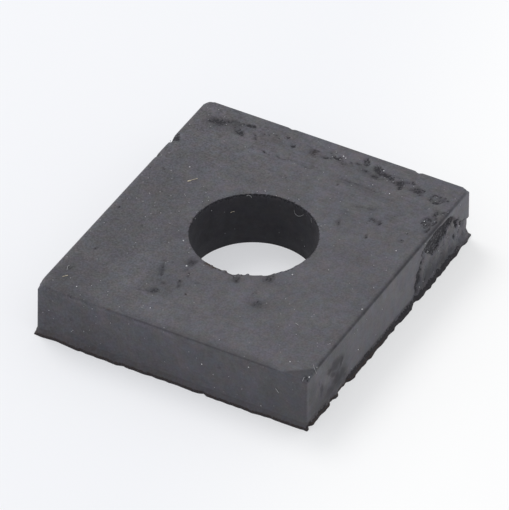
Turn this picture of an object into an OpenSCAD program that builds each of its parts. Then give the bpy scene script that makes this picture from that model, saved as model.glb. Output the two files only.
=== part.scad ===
// Moulded rubber pad: a low block with a round hole through it, a trimmed lip of
// flash round its foot, and the knocks and tears of a long life on the bench.
// Millimetres. The hole's axis is Z and the foot of the block stands on z = 0.
// The front wall faces -Y and the right wall faces +X.

/* [Block] */
// Width of the block at its foot, from the left wall to the right
block_w = 35; // [26:0.5:80]
// Depth of the block at its foot, from the front wall to the back
block_d = 40; // [28:0.5:80]
// Height from the floor to the flat top
block_h = 7.2; // [6:0.1:20]
// How far each wall leans in between its foot and the top
wall_lean = 0.12; // [0.04:0.02:0.2]
// Radius of the upright edges at the foot
upright_r = 0.6; // [0.6:0.1:3]
// Radius of the edge that runs round the top
top_edge_r = 0.4; // [0.1:0.05:0.4]

/* [Hole] */
// Diameter of the hole
hole_d = 15; // [6:0.5:20]
// How far the hole's axis lies to the right of the block's middle
hole_right = -0.3; // [-1.5:0.05:1.5]
// How far the hole's axis lies behind the block's middle
hole_back = 0.15; // [-1.5:0.05:1.5]

/* [Flash] */
// How far the lip of flash came out of the mould past the foot
flash_reach = 0.75; // [0.7:0.05:1.5]
// Thickness of the lip at its outer end
flash_t = 0.12; // [0.08:0.02:0.3]
// Height at which the lip has run out into the wall
flash_rise = 1.05; // [0.8:0.05:1.6]
// Width of lip that the trimming knife left
flash_left = 0.48; // [0.4:0.02:0.6]
// How far the trimmed edge wanders in and out
flash_wander = 0.12; // [0.02:0.02:0.15]
// Distance between the corners of the trimmed edge
flash_step = 0.9; // [0.6:0.1:3]

/* [Worn corners] */
// Reach along the walls of the wear on the front left top corner
wear_front_left = 1.1; // [0.8:0.1:4]
// Reach along the walls of the wear on the front right top corner
wear_front_right = 1.0; // [0.8:0.1:4]
// Reach along the walls of the wear on the back right top corner
wear_back_right = 0.9; // [0.8:0.1:4]
// Reach along the walls of the wear on the back left top corner
wear_back_left = 1.2; // [0.8:0.1:4]
// How far down the upright edge the wear runs, for each millimetre of its reach
wear_drop = 0.7; // [0.4:0.05:1]

/* [Tear] */
// Length of the torn patch along the foot of the right wall, from the back wall forwards
tear_len = 13.7; // [8:0.1:20]
// How much shorter the patch is along its upper edge
tear_slant = 2.2; // [0:0.1:4]
// Height of the torn patch's lower edge
tear_low = 0.95; // [0.6:0.05:1.5]
// Distance of its upper edge below the top of the block
tear_under_top = 0.8; // [0.6:0.1:2]
// The same distance where the patch runs off the back right edge
tear_end_under_top = 3.8; // [2.5:0.1:4.2]
// Length over which the upper edge drops towards that end
tear_drop_len = 4.5; // [2:0.5:6]
// Depth of rubber that the patch has lost
tear_deep = 0.5; // [0.2:0.05:1]
// How far the upper edge wanders up and down
tear_wander = 0.15; // [0:0.05:0.3]

/* [Nicks and pits] */
// Distance of the nick in the left top edge from the back wall
side_nick_from_back = 8; // [3:0.5:20]
// Width of that nick
side_nick_w = 2; // [0.5:0.1:4]
// Depth of that nick
side_nick_deep = 0.45; // [0.1:0.05:0.8]
// Width of the two small nicks in the back top edge
back_nick_w = 0.9; // [0.4:0.1:2]
// Depth of the small nicks
back_nick_deep = 0.25; // [0.1:0.05:0.4]
// Depth of the scuffed pits in the top
pit_deep = 0.1; // [0.04:0.02:0.3]

/* [Hidden] */

// How far a cut runs past the face that it opens
past = 1;
// Smallest width that a step or edge keeps
least = 0.01;
// Facets on a full turn of the hole, and of the small round edges
hole_fn = 120;
edge_fn = 48;
// Straight pieces in the curve of the lip and of the top edge
curve_steps = 4;
// How hollow the upper side of the lip is: 1 would be straight
lip_hollow = 1.3;
// Share of the lip's width that is left in the middle of a gap
gap_share = 0.15;
// Share of a step by which each corner of the trimmed edge may shift
step_shift = 0.3;
// Seeds of the trimmed edge's shifts and widths, and of the torn floor and its edge
shift_seed = 40;
wander_seed = 60;
floor_seed = 7;
edge_seed = 9;
// Points of the torn floor, up the wall and along it
tear_rows = 8;
tear_columns = 16;
// Roughness of the torn floor, as shares of its depth
tear_rough = [0.7, 1.15];
// Share of the full depth at the foot of the torn floor
tear_foot_share = 0.5;
// Columns over which the floor comes up towards the front
tear_front_columns = 5;
// Where the arcs of the upright edges have their centres
arc_x = block_w / 2 - upright_r;
arc_y = block_d / 2 - upright_r;

// Small nicks in the back top edge: distance of each from the right wall
back_nicks = [6.7, 23.5];

// Places along the right wall where the lip was torn away:
// [distance from the front wall, half the length of the gap]
lip_gaps = [[5.5, 0.9], [7.9, 1.3], [26.2, 1.2], [37.8, 1.4]];

// Scuffed pits in the top: [distance from the right wall, from the back wall, width]
pits = [
    [31.1, 2.7, 2.4], [27.8, 2.1, 1.7], [28.5, 3.7, 1.3], [19.0, 2.9, 1.1],
    [16.1, 2.6, 1.3], [12.7, 1.9, 1.1], [10.2, 2.2, 2.2], [7.2, 2.5, 2.0],
    [4.9, 3.3, 1.3], [2.2, 3.2, 1.7], [1.9, 7.4, 1.5], [6.3, 10.8, 1.4],
    [11.2, 31.0, 1.1], [23.1, 34.7, 1.3]
];

// How far the wall stands out from the arcs' centres at a height z
function wall_r(z) = upright_r - wall_lean * z / block_h;

// Half section of the rim: from the floor, out along the lip, up the lip's hollow
// curve to the wall, up the leaning wall and over the rounded top edge
function rim_section() =
    let (
        lip_end = upright_r + flash_reach,
        lip_root = wall_r(flash_rise),
        round_r = min(top_edge_r, wall_r(block_h) - least),
        round_x = wall_r(block_h) - round_r,
        round_z = block_h - round_r
    )
    concat(
        [[0, 0], [lip_end, 0]],
        [for (i = [0:curve_steps])
            let (t = i / curve_steps)
            [lip_end + (lip_root - lip_end) * t,
             flash_t + (flash_rise - flash_t) * pow(t, lip_hollow)]],
        [for (i = [0:curve_steps])
            let (a = 90 * i / curve_steps)
            [round_x + round_r * cos(a), round_z + round_r * sin(a)]],
        [[0, block_h]]
    );

// The block and its untrimmed lip: the section carried along four walls and round
// four upright edges, with the inside filled
module block() {
    for (k = [0:3]) {
        out = k % 2 == 0 ? arc_x : arc_y;
        along = k % 2 == 0 ? arc_y : arc_x;
        rotate([0, 0, 90 * k]) translate([out, along, 0]) {
            rotate([90, 0, 0]) linear_extrude(2 * along) polygon(rim_section());
            rotate_extrude(angle = 90, $fn = edge_fn) polygon(rim_section());
        }
    }
    translate([-arc_x, -arc_y, 0]) cube([2 * arc_x, 2 * arc_y, block_h]);
}

// Share of the lip that is left at a distance s along the right wall
function lip_share(s) =
    min([for (g = lip_gaps) min(1, gap_share + (1 - gap_share) * abs(s - g[0]) / g[1])]);

// Corners of the trimmed edge along one wall, as [place along the wall, width of lip];
// the first one is the mitre at the wall's start
function trimmed_edge(len, side) =
    let (
        n = round(len / flash_step),
        shift = rands(-step_shift, step_shift, n, shift_seed + side),
        wander = rands(-flash_wander, flash_wander, n, wander_seed + side)
    )
    [for (i = [0:n - 1])
        i == 0
        ? [-flash_left, flash_left]
        : let (s = (i + shift[i]) * len / n)
          [s, (flash_left + wander[i]) * (side == 1 ? lip_share(s) : 1)]];

// Outline of the trimmed lip, wall by wall: front, right, back, left
function lip_outline() =
    let (w = block_w / 2, d = block_d / 2)
    concat(
        [for (p = trimmed_edge(block_w, 0)) [p[0] - w, -d - p[1]]],
        [for (p = trimmed_edge(block_d, 1)) [w + p[1], p[0] - d]],
        [for (p = trimmed_edge(block_w, 2)) [w - p[0], d + p[1]]],
        [for (p = trimmed_edge(block_d, 3)) [-w - p[1], d - p[0]]]
    );

// What the trimming knife takes away outside that outline
module trimmings() {
    translate([0, 0, -past])
        linear_extrude(past + flash_rise)
            difference() {
                square([block_w + 4 * flash_reach, block_d + 4 * flash_reach], center = true);
                polygon(lip_outline());
            }
}

// Wear on one top corner, whose walls meet at [x, y]: what lies outside a cone that
// rounds the corner at the top and runs out at the upright edge lower down
module corner_wear(x, y, reach) {
    drop = wear_drop * reach;
    translate([x - sign(x) * reach, y - sign(y) * reach, block_h - drop])
        difference() {
            scale([sign(x), sign(y), 1]) cube([reach + past, reach + past, drop + past]);
            cylinder(h = drop, r1 = reach * sqrt(2), r2 = reach - wall_lean, $fn = edge_fn);
            translate([0, 0, drop]) cylinder(h = 2 * past, r = reach - wall_lean, $fn = edge_fn);
        }
}

// A nick in a top edge at [x, y], where the wall below faces along out
module nick(x, y, out, width, deep) {
    r = (width * width / 4 + deep * deep) / (2 * deep);
    gap = (r - deep) / sqrt(2);
    translate([x + out[0] * gap, y + out[1] * gap, block_h + gap]) sphere(r, $fn = edge_fn);
}

// A shallow round pit in the top
module pit(x, y, width) {
    r = (width * width / 4 + pit_deep * pit_deep) / (2 * pit_deep);
    translate([x, y, block_h + r - pit_deep]) sphere(r, $fn = edge_fn);
}

// Height of the torn patch's upper edge at a distance s forwards of the back wall
function tear_top(s) =
    block_h - tear_under_top
    - (tear_end_under_top - tear_under_top) * (1 - min(1, max(0, s) / tear_drop_len));

// The torn patch: a rough floor under the right wall's face, which comes up through
// the face along the patch's front, upper and lower edges
module tear() {
    rows = tear_rows;
    columns = tear_columns;
    rough = rands(tear_rough[0], tear_rough[1], rows * columns, floor_seed);
    wander = rands(-tear_wander, tear_wander, columns, edge_seed);
    function up(j) = j / (rows - 1);
    function forwards(i, j) = -past + (past + tear_len - tear_slant * up(j)) * i / (columns - 1);
    function height(i, j) = tear_low + (tear_top(forwards(i, j)) + wander[i] - tear_low) * up(j);
    function is_edge(i, j) = i == columns - 1 || j == 0 || j == rows - 1;
    function lost(i, j) =
        is_edge(i, j)
        ? -past / 4
        : tear_deep * rough[i * rows + j] * (tear_foot_share + (1 - tear_foot_share) * up(j))
          * min(1, (columns - i) / tear_front_columns);
    grid = [for (i = [0:columns - 1]) for (j = [0:rows - 1]) [i, j]];
    floor_points = [for (g = grid)
        [block_w / 2 - wall_lean * height(g[0], g[1]) / block_h - lost(g[0], g[1]),
         block_d / 2 - forwards(g[0], g[1]), height(g[0], g[1])]];
    face_points = [for (p = floor_points) [block_w / 2 + past, p[1], p[2]]];
    n = len(grid);
    cells = [for (i = [0:columns - 2]) for (j = [0:rows - 2]) i * rows + j];
    low_edge = [for (i = [0:columns - 2]) i * rows];
    polyhedron(
        points = concat(floor_points, face_points),
        faces = concat(
            [for (q = cells) [q, q + 1, q + rows]],
            [for (q = cells) [q + 1, q + rows + 1, q + rows]],
            [for (q = cells) [n + q, n + q + rows, n + q + rows + 1, n + q + 1]],
            [for (q = low_edge) [q, q + rows, n + q + rows, n + q]],
            [for (q = low_edge)
                [q + 2 * rows - 1, q + rows - 1, n + q + rows - 1, n + q + 2 * rows - 1]],
            [for (j = [0:rows - 2]) [n + j, n + j + 1, j + 1, j]],
            [for (j = [n - rows:n - 2]) [j, j + 1, n + j + 1, n + j]]
        )
    );
}

// The pad, with the hole's axis on Z
module pad() {
    top_x = block_w / 2 - wall_lean;
    top_y = block_d / 2 - wall_lean;
    color("#5d5d62")
    translate([-hole_right, -hole_back, 0])
    difference() {
        block();
        trimmings();
        translate([hole_right, hole_back, -past])
            cylinder(h = block_h + 2 * past, d = hole_d, $fn = hole_fn);
        corner_wear(-block_w / 2, -block_d / 2, wear_front_left);
        corner_wear(block_w / 2, -block_d / 2, wear_front_right);
        corner_wear(block_w / 2, block_d / 2, wear_back_right);
        corner_wear(-block_w / 2, block_d / 2, wear_back_left);
        tear();
        nick(-top_x, block_d / 2 - side_nick_from_back, [-1, 0], side_nick_w, side_nick_deep);
        for (from_right = back_nicks)
            nick(block_w / 2 - from_right, top_y, [0, 1], back_nick_w, back_nick_deep);
        for (p = pits) pit(block_w / 2 - p[0], block_d / 2 - p[1], p[2]);
    }
}

pad();
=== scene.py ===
import bpy
import numpy as np
from mathutils import Matrix


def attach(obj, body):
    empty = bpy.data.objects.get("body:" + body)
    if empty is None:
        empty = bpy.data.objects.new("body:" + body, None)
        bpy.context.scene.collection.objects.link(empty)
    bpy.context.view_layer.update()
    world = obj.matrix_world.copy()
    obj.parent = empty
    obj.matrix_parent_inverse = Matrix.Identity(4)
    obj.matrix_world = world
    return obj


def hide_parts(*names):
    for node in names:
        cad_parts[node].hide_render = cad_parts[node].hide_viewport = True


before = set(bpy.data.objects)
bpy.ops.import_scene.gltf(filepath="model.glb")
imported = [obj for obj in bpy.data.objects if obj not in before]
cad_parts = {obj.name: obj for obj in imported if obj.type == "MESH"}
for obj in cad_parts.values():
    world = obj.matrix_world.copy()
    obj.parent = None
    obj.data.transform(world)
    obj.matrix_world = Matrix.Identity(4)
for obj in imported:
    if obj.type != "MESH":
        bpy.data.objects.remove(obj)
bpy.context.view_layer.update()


# ---------------------------------------------------------------------------
# Camera
# A long lens looks down on the pad over its front right corner, from far enough
# away that the walls hardly converge. Lengths are in metres.
# ---------------------------------------------------------------------------
camera_azimuth = np.radians(28.299)
camera_elevation = np.radians(38.815)
camera_roll = np.radians(0.729)
camera_distance = 0.738762
camera_target = np.array([-0.001963, 0.004914, 0.0])
picture_width, picture_height = 509, 510
focal_pixels = 6334.18
axis_pixel = (258.969, 254.449)


def facing_matrix(x_way, y_way, z_way, place):
    """Matrix of an object at a place, whose own axes run along the three given ways."""
    rows = [[x_way[k], y_way[k], z_way[k], place[k]] for k in range(3)]
    return Matrix(rows + [[0, 0, 0, 1]])


across = np.array([np.cos(camera_azimuth), np.sin(camera_azimuth), 0.0])
backward = np.array([
    np.sin(camera_azimuth) * np.cos(camera_elevation),
    -np.cos(camera_azimuth) * np.cos(camera_elevation),
    np.sin(camera_elevation),
])
upward = np.cross(backward, across)
camera_x = across * np.cos(camera_roll) + upward * np.sin(camera_roll)
camera_y = upward * np.cos(camera_roll) - across * np.sin(camera_roll)
camera_place = camera_target + camera_distance * backward

camera_data = bpy.data.cameras.new("camera")
camera_data.sensor_width = 36
camera_data.lens = focal_pixels * camera_data.sensor_width / picture_height
camera_data.shift_x = (picture_width / 2 - axis_pixel[0]) / picture_height
camera_data.shift_y = (axis_pixel[1] - picture_height / 2) / picture_height
camera_data.clip_start = 0.01
camera_data.clip_end = 20
camera = bpy.data.objects.new("camera", camera_data)
camera.matrix_world = facing_matrix(camera_x, camera_y, backward, camera_place)
bpy.context.scene.collection.objects.link(camera)
bpy.context.scene.camera = camera
bpy.context.scene.view_settings.view_transform = "Standard"


# ---------------------------------------------------------------------------
# Light
# A pale room gives most of the light, and one large soft lamp stands behind the
# pad and to its left, so that the shadow lies to the right of the pad.
# ---------------------------------------------------------------------------
room_colour = (0.97, 0.985, 1.0, 1)
room_strength = 0.76
lamp_place = np.array([-0.62, 0.30, 0.85])
lamp_size = 0.55
lamp_colour = (1.0, 0.985, 0.97)
# How brightly the lamp lights a white level surface at the origin, where 1 is white
lamp_share = 0.26

world = bpy.data.worlds.new("room")
world.use_nodes = True
room = world.node_tree.nodes["Background"]
room.inputs["Color"].default_value = room_colour
room.inputs["Strength"].default_value = room_strength
bpy.context.scene.world = world

lamp_distance = np.linalg.norm(lamp_place)
lamp_data = bpy.data.lights.new("soft_lamp", "AREA")
lamp_data.shape = "DISK"
lamp_data.size = lamp_size
lamp_data.energy = lamp_share * np.pi**2 * lamp_distance**3 / lamp_place[2]
lamp_data.color = lamp_colour
lamp_z = lamp_place / lamp_distance
lamp_x = np.cross([0, 0, 1], lamp_z)
lamp_x /= np.linalg.norm(lamp_x)
lamp_y = np.cross(lamp_z, lamp_x)
lamp = bpy.data.objects.new("soft_lamp", lamp_data)
lamp.matrix_world = facing_matrix(lamp_x, lamp_y, lamp_z, lamp_place)
bpy.context.scene.collection.objects.link(lamp)


# ---------------------------------------------------------------------------
# Floor
# The pad lies on a plain pale bench top. Its colour is painted a little whiter towards the right,
# as painted light where more light falls on it.
# It is a backdrop and no part of the pad.
# ---------------------------------------------------------------------------
floor_half = 2.5
floor_colour = (0.921, 0.928, 0.955, 1)
floor_painted_light_colour = (1.0, 1.0, 1.0, 1)
# The painted light grows whiter along this way, between these two distances from the origin
whiter_way = (0.96, 0.22, 0)
whiter_from, whiter_to = -0.006, 0.030
# Share of its brightness, to the eye and in gloss, that no shadow takes away
floor_glow = 0.5


def add_node(tree, kind, inputs=None, **settings):
    """Adds a shader node to the tree with its settings, and gives each named input its
    value, or links it to the output that is given."""
    node = tree.nodes.new("ShaderNode" + kind)
    for name, value in settings.items():
        setattr(node, name, value)
    for name, value in (inputs or {}).items():
        socket = [s for s in node.inputs if s.enabled and name == s.name][0]
        if isinstance(value, bpy.types.NodeSocket):
            tree.links.new(value, socket)
        else:
            socket.default_value = value
    return node


def result(node):
    """The output of a node that is in use."""
    return [s for s in node.outputs if s.enabled][0]


def math(tree, operation, first, second=0.5, clamp=False):
    """A Math node on two values or outputs; returns its output."""
    node = tree.nodes.new("ShaderNodeMath")
    node.operation = operation
    node.use_clamp = clamp
    for socket, value in zip(node.inputs, (first, second)):
        if isinstance(value, bpy.types.NodeSocket):
            tree.links.new(value, socket)
        else:
            socket.default_value = value
    return node.outputs[0]


def mix(tree, factor, first, second, blend_type="MIX"):
    """A colour Mix node; returns its output."""
    return result(add_node(tree, "Mix", {"Factor": factor, "A": first, "B": second},
                           data_type="RGBA", blend_type=blend_type))


def new_material(name):
    """A material with nodes. Returns it, its tree, its Principled shader and the output
    of the object's own coordinates."""
    material = bpy.data.materials.new(name)
    material.use_nodes = True
    tree = material.node_tree
    own_place = add_node(tree, "TexCoord").outputs["Object"]
    return material, tree, tree.nodes["Principled BSDF"], own_place


def new_piece(mesh):
    """An object that shows a mesh and has its name, at the origin."""
    piece = bpy.data.objects.new(mesh.name, mesh)
    bpy.context.scene.collection.objects.link(piece)
    return piece


floor_mesh = bpy.data.meshes.new("bench_top")
floor_mesh.from_pydata(
    [(-floor_half, -floor_half, 0), (floor_half, -floor_half, 0),
     (floor_half, floor_half, 0), (-floor_half, floor_half, 0)],
    [], [(0, 1, 2, 3)])
bench_top = new_piece(floor_mesh)

floor_material, tree, shader, own_place = new_material("pale_bench_top")
along = add_node(tree, "VectorMath", operation="DOT_PRODUCT")
along.inputs[1].default_value = whiter_way
tree.links.new(own_place, along.inputs[0])
fade = add_node(tree, "MapRange", {
    "Value": along.outputs["Value"], "From Min": whiter_from, "From Max": whiter_to,
}, interpolation_type="SMOOTHSTEP")
paint = mix(tree, result(fade), floor_colour, floor_painted_light_colour)
shader.inputs["Roughness"].default_value = 0.9
shader.inputs["Specular IOR Level"].default_value = 0.0
tree.links.new(paint, shader.inputs["Base Color"])
rays = add_node(tree, "LightPath")
seen = math(tree, "MAXIMUM", rays.outputs["Is Camera Ray"], rays.outputs["Is Glossy Ray"])
glow = add_node(tree, "Emission", {"Color": paint, "Strength": 1.0})
both = add_node(tree, "MixShader")
tree.links.new(math(tree, "MULTIPLY", seen, floor_glow), both.inputs[0])
tree.links.new(shader.outputs[0], both.inputs[1])
tree.links.new(glow.outputs[0], both.inputs[2])
tree.links.new(both.outputs[0], tree.nodes["Material Output"].inputs["Surface"])
floor_mesh.materials.append(floor_material)


# ---------------------------------------------------------------------------
# Rubber pad
# One block of black rubber, moulded in one shot with a hole straight through it.
# A grey bloom covers it; where it was trimmed, torn, worn or scuffed, black shows.
# ---------------------------------------------------------------------------
# Lengths are in millimetres from the middle of the block until the mesh is made
mm = 0.001
block_w, block_d, block_h = 35.24, 40.24, 7.2
wall_lean = 0.12
upright_r = 0.4
hole_r = 7.5
hole_place = np.array([-0.3, 0.15])
hole_rim_r = 0.1
# The lip of flash round the foot: how far it came out of the mould, its thickness
# there, the tallest cut that the trimming left, and how hollow its upper side is
flash_reach = 0.75
flash_t = 0.12
cut_most = 0.36
lip_hollow = 0.94
# Radius of the top edge over the front, right, back and left walls
top_edge_r = np.array([0.22, 0.32, 0.30, 0.30])
# Columns of the mesh along those walls and round each upright edge
wall_columns = [140, 268, 176, 98]
corner_columns = 8
# Rows of the mesh, from the bore over the top, down the walls and under the block
bore_rows, rim_rows, top_rows, edge_rows = 8, 4, 66, 7
wall_rows, lip_rows, cut_rows, under_rows = 34, 6, 3, 5


def smooth(t):
    """Smoothstep of t: three t squared less two t cubed, flat below 0 and above 1."""
    t = np.clip(t, 0, 1)
    return t * t * (3 - 2 * t)


def hump(value, middle, half):
    """Smoothstep that is 1 at the middle and 0 from half the hump's width away."""
    return smooth(1 - np.abs(value - middle) / half)


def wander(a, b, size, seed):
    """Value noise from -1 to 1 over the plane (a, b): seeded random values on a square
    lattice of the given spacing, blended between its points with smoothstep weights."""
    lattice = np.random.default_rng(seed).uniform(-1, 1, (97, 97))
    p, q = a / size + 40.3, b / size + 40.7
    i, j = np.floor(p).astype(int), np.floor(q).astype(int)
    s, t = smooth(p - i), smooth(q - j)
    near = lattice[i % 97, j % 97] * (1 - s) + lattice[(i + 1) % 97, j % 97] * s
    far = lattice[i % 97, (j + 1) % 97] * (1 - s) + lattice[(i + 1) % 97, (j + 1) % 97] * s
    return near * (1 - t) + far * t


def rough(a, b, size, seed):
    """Sum of three layers of wander, each of half the size and half the height before,
    over the sum of their heights."""
    return (wander(a, b, size, seed) + wander(a, b, size / 2, seed + 1) / 2
            + wander(a, b, size / 4, seed + 2) / 4) / 1.75


def wander_along(place, size, seed):
    """Value noise from -1 to 1 along a line: wander on the line b = 0 of its plane."""
    return wander(place, place * 0, size, seed)


def mark_depth(a, b, marks, soft=0.7):
    """How strong the marks are at each point. A mark is an ellipse (middle a, middle b,
    length, width, turn in degrees, strength) whose edge wanders. Strength falls smoothly
    over the share soft of the mark's radius, and the strongest mark counts. Marks of a
    negative strength count apart, and are added."""
    ragged = 0.16 if soft < 1.3 else 0.5
    a, b = a + ragged * rough(a, b, 0.7, 31), b + ragged * rough(a, b, 0.7, 41)
    most, least = np.zeros(np.shape(a)), np.zeros(np.shape(a))
    for mid_a, mid_b, length, width, turn, strength in marks:
        c, s = np.cos(np.radians(turn)), np.sin(np.radians(turn))
        da, db = a - mid_a, b - mid_b
        off = np.hypot((da * c + db * s) / (length / 2), (db * c - da * s) / (width / 2))
        mark = strength * smooth((1 + soft / 2 - off) / soft)
        most, least = np.maximum(most, mark), np.minimum(least, mark)
    return most + least


# Columns: base is the middle of the upright edge's rounding, carried along each wall,
# outward the way the wall faces, foot the wall's foot, and wall_mix the wall (0 front,
# 1 right, 2 back, 3 left), with the corners between
arc_x, arc_y = block_w / 2 - upright_r, block_d / 2 - upright_r
corners = np.array([[arc_x, -arc_y], [arc_x, arc_y], [-arc_x, arc_y], [-arc_x, -arc_y]])
base, facing, wall_mix = [], [], []
for k in range(4):
    step = np.arange(wall_columns[k]) / wall_columns[k]
    base.append(corners[k - 1] + np.outer(step, corners[k] - corners[k - 1]))
    facing.append(np.full(wall_columns[k], 90.0 * (k - 1)))
    wall_mix.append(np.full(wall_columns[k], float(k)))
    step = np.arange(corner_columns) / corner_columns
    base.append(np.repeat(corners[k:k + 1], corner_columns, axis=0))
    facing.append(90.0 * (k - 1 + step))
    wall_mix.append(k + step)
base = np.concatenate(base)
facing = np.radians(np.concatenate(facing))
wall_mix = np.concatenate(wall_mix)
columns = len(base)
outward = np.stack([np.cos(facing), np.sin(facing)], axis=1)
foot = base + outward * upright_r
base_x, base_y = base.T
on_front = outward[:, 1] < -0.7
on_right = outward[:, 0] > 0.7

# The top edge is rounder at the two front corners: (corner x, corner y, distance to
# which it is at its roundest, distance at which that has gone, radius added)
rounder_corners = [(-17.5, -20.0, 0.8, 1.8, 0.20), (17.5, -20.0, 0.84, 2.24, 0.12)]
edge_r = np.interp(wall_mix, range(5), np.append(top_edge_r, top_edge_r[0]))
for corner_x, corner_y, full, gone, added in rounder_corners:
    corner_way = np.hypot(*(foot - [corner_x, corner_y]).T)
    edge_r = edge_r + added * smooth((gone - corner_way) / (gone - full))

# Width of lip that the trimming knife left, by place along the front wall (x) and along
# the right wall (y), and the middle width and the wander of the other two
front_lip = np.array([
    (-17.7, .30), (-16.56, .37), (-14.93, .21), (-11.85, .51), (-11.41, .35), (-10.81, .48),
    (-9.91, .43), (-9.35, .50), (-8.34, .42), (-6.96, .54), (-6.58, .50), (-5.93, .26),
    (-5.61, .37), (-5.2, .40), (-4.57, .34), (-3.22, .42), (-2.27, .25), (-1.55, .35),
    (-.44, .24), (0, .31), (.99, .24), (3.26, .34), (4.0, .27), (4.42, .04), (4.94, .31),
    (5.57, .28), (6.12, .34), (6.72, .25), (7.79, .32), (8.26, .23), (8.69, .30), (9.44, .25),
    (10.78, .35), (11.74, .20), (12.26, .22), (12.97, .10), (13.78, .17), (16.72, .14),
    (17.3, .05), (17.7, .16)])
right_lip = np.array([
    (-20.2, .20), (-19.8, .16), (-19.6, -.12), (-19.34, -.13), (-18.95, .22), (-18.73, .24),
    (-16.99, .13), (-16.11, .28), (-14.91, .26), (-14.48, -.06), (-13.81, .07), (-13.49, .27),
    (-13.06, .31), (-12.9, .25), (-12.64, -.01), (-11.47, -.09), (-11.0, .02), (-10.44, -.08),
    (-10.08, .22), (-9.16, .40), (-8.81, .30), (-7.0, .25), (-6.52, .36), (-5.97, .25),
    (-5.28, .39), (-3.71, .25), (-2.62, .35), (-1.19, .33), (-.65, .20), (.48, .36),
    (1.21, .18), (2.35, .36), (4.86, .37), (5.92, .01), (6.36, .06), (6.69, .27), (7.38, .37),
    (7.81, .39), (8.55, .22), (9.33, .47), (10.09, .32), (10.76, .38), (11.52, .22),
    (12.02, .37), (14.91, .21), (16.04, .33), (17.82, .06), (18.03, .05), (18.55, .22),
    (19.19, .22), (19.74, .05), (20.2, .04)])
lip_middle, lip_wander = 0.44, 0.12


def lip_left(points):
    """Width of lip at each column for each of the four walls: through the given places
    along the front and right walls, and along the others the middle width with a seeded
    wander, less towards one end."""
    x, y = points[:, 0], points[:, 1]
    ragged = 0.04 * wander(x, y, 0.35, 5)
    front = np.interp(x, *front_lip.T) + 0.4 * ragged
    right = np.interp(y, *right_lip.T) + ragged
    back = lip_middle + lip_wander * rough(x, y, 1.6, 6) + ragged
    left = lip_middle + lip_wander * rough(x, y, 1.6, 7) + ragged
    return np.stack([front, right, back - 0.16 * smooth((x - 15) / 2),
                     left - 0.28 * smooth((-18 - y) / 2)])


# Distance of the cut from base: round a corner it is the nearer of the two walls'
# straight cuts, and it is hardly ever past what came out of the mould
past_mould = 0.03
lips = lip_left(foot)
wall_before = np.floor(wall_mix).astype(int)
turned = np.radians(90 * (wall_mix - wall_before))
cut_before = upright_r + lips[wall_before, range(columns)]
cut_after = upright_r + lips[(wall_before + 1) % 4, range(columns)]
with np.errstate(divide="ignore"):
    trimmed = np.minimum(cut_before / np.cos(turned),
                         np.where(turned == 0, np.inf, cut_after / np.sin(turned)))
trimmed = np.minimum(trimmed, upright_r + flash_reach + past_mould)

# Height at which the lip has run out into the wall, by wall_mix: lower at the front left
# edge, and lowest where the back right one is torn
lip_rises = np.array([
    (0, .92), (1, .92), (1.5, .40), (2, .90), (3, .85), (3.5, .72), (3.9, .72), (4, .92)])
torn_rise = 0.32
by_tear = (wall_mix >= 1) & (wall_mix < 2)
torn_foot = smooth((base_y - 15.5) / 3) * by_tear
torn_tip = smooth((base_y - 18.6) / 0.8) * by_tear
lip_rise = np.interp(wall_mix, *lip_rises.T)
lip_rise = lip_rise + torn_foot * (torn_rise - lip_rise)
root = upright_r - wall_lean * lip_rise / block_h

# Wear of the four top corners: (corner x, corner y, radius at the top, depth to which
# the rounding runs down the upright edge)
worn_corners = [
    (17.5, -20.0, 0.6, 0.3), (17.5, 20.0, 0.56, 0.35),
    (-17.5, 20.0, 0.8, 0.7), (-17.5, -20.0, 0.75, 0.7)]


def wall_in(height):
    """How far the walls have leaned in at a height."""
    return wall_lean * height / block_h


def round_corners(place, height):
    """Moves the points that lie outside the worn roundings of the corners straight
    towards each rounding's middle, and on to it. Its radius shrinks down the upright
    edge. Also returns the direction that the surface faces over the plan."""
    place = place.copy()
    faces = np.broadcast_to(outward, place.shape).copy()
    for corner_x, corner_y, reach, fall in worn_corners:
        share = np.clip((height - (block_h - fall)) / fall, 0, 1)
        radius = upright_r + (reach - upright_r) * share
        inset = radius + wall_in(height)
        side = np.array([np.sign(corner_x), np.sign(corner_y)])
        middle = np.array([corner_x, corner_y]) - side * inset[..., None]
        off = place - middle
        length = np.hypot(off[..., 0], off[..., 1])
        beyond = (off[..., 0] * side[0] > 0) & (off[..., 1] * side[1] > 0)
        beyond = (beyond & (length > radius) & (radius > upright_r + 0.01))[..., None]
        radius, length = np.broadcast_to(radius, length.shape)[..., None], length[..., None]
        place = np.where(beyond, middle + off * radius / length, place)
        faces = np.where(beyond, off / length, faces)
    return place, faces


# Nicks in the top edges: (x, y, radius of the nick, depth)
edge_nicks = [
    (-17.55, 11.0, 0.50, 0.60), (-17.55, 11.5, 0.4, 0.25), (-17.4, 7.6, 0.4, 0.16),
    (-6.0, 20.0, 0.4, 0.12), (10.8, 20.0, 0.45, 0.2), (-13.0, -19.95, 0.3, 0.1),
    (17.4, -6.2, 0.25, 0.08)]
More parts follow.
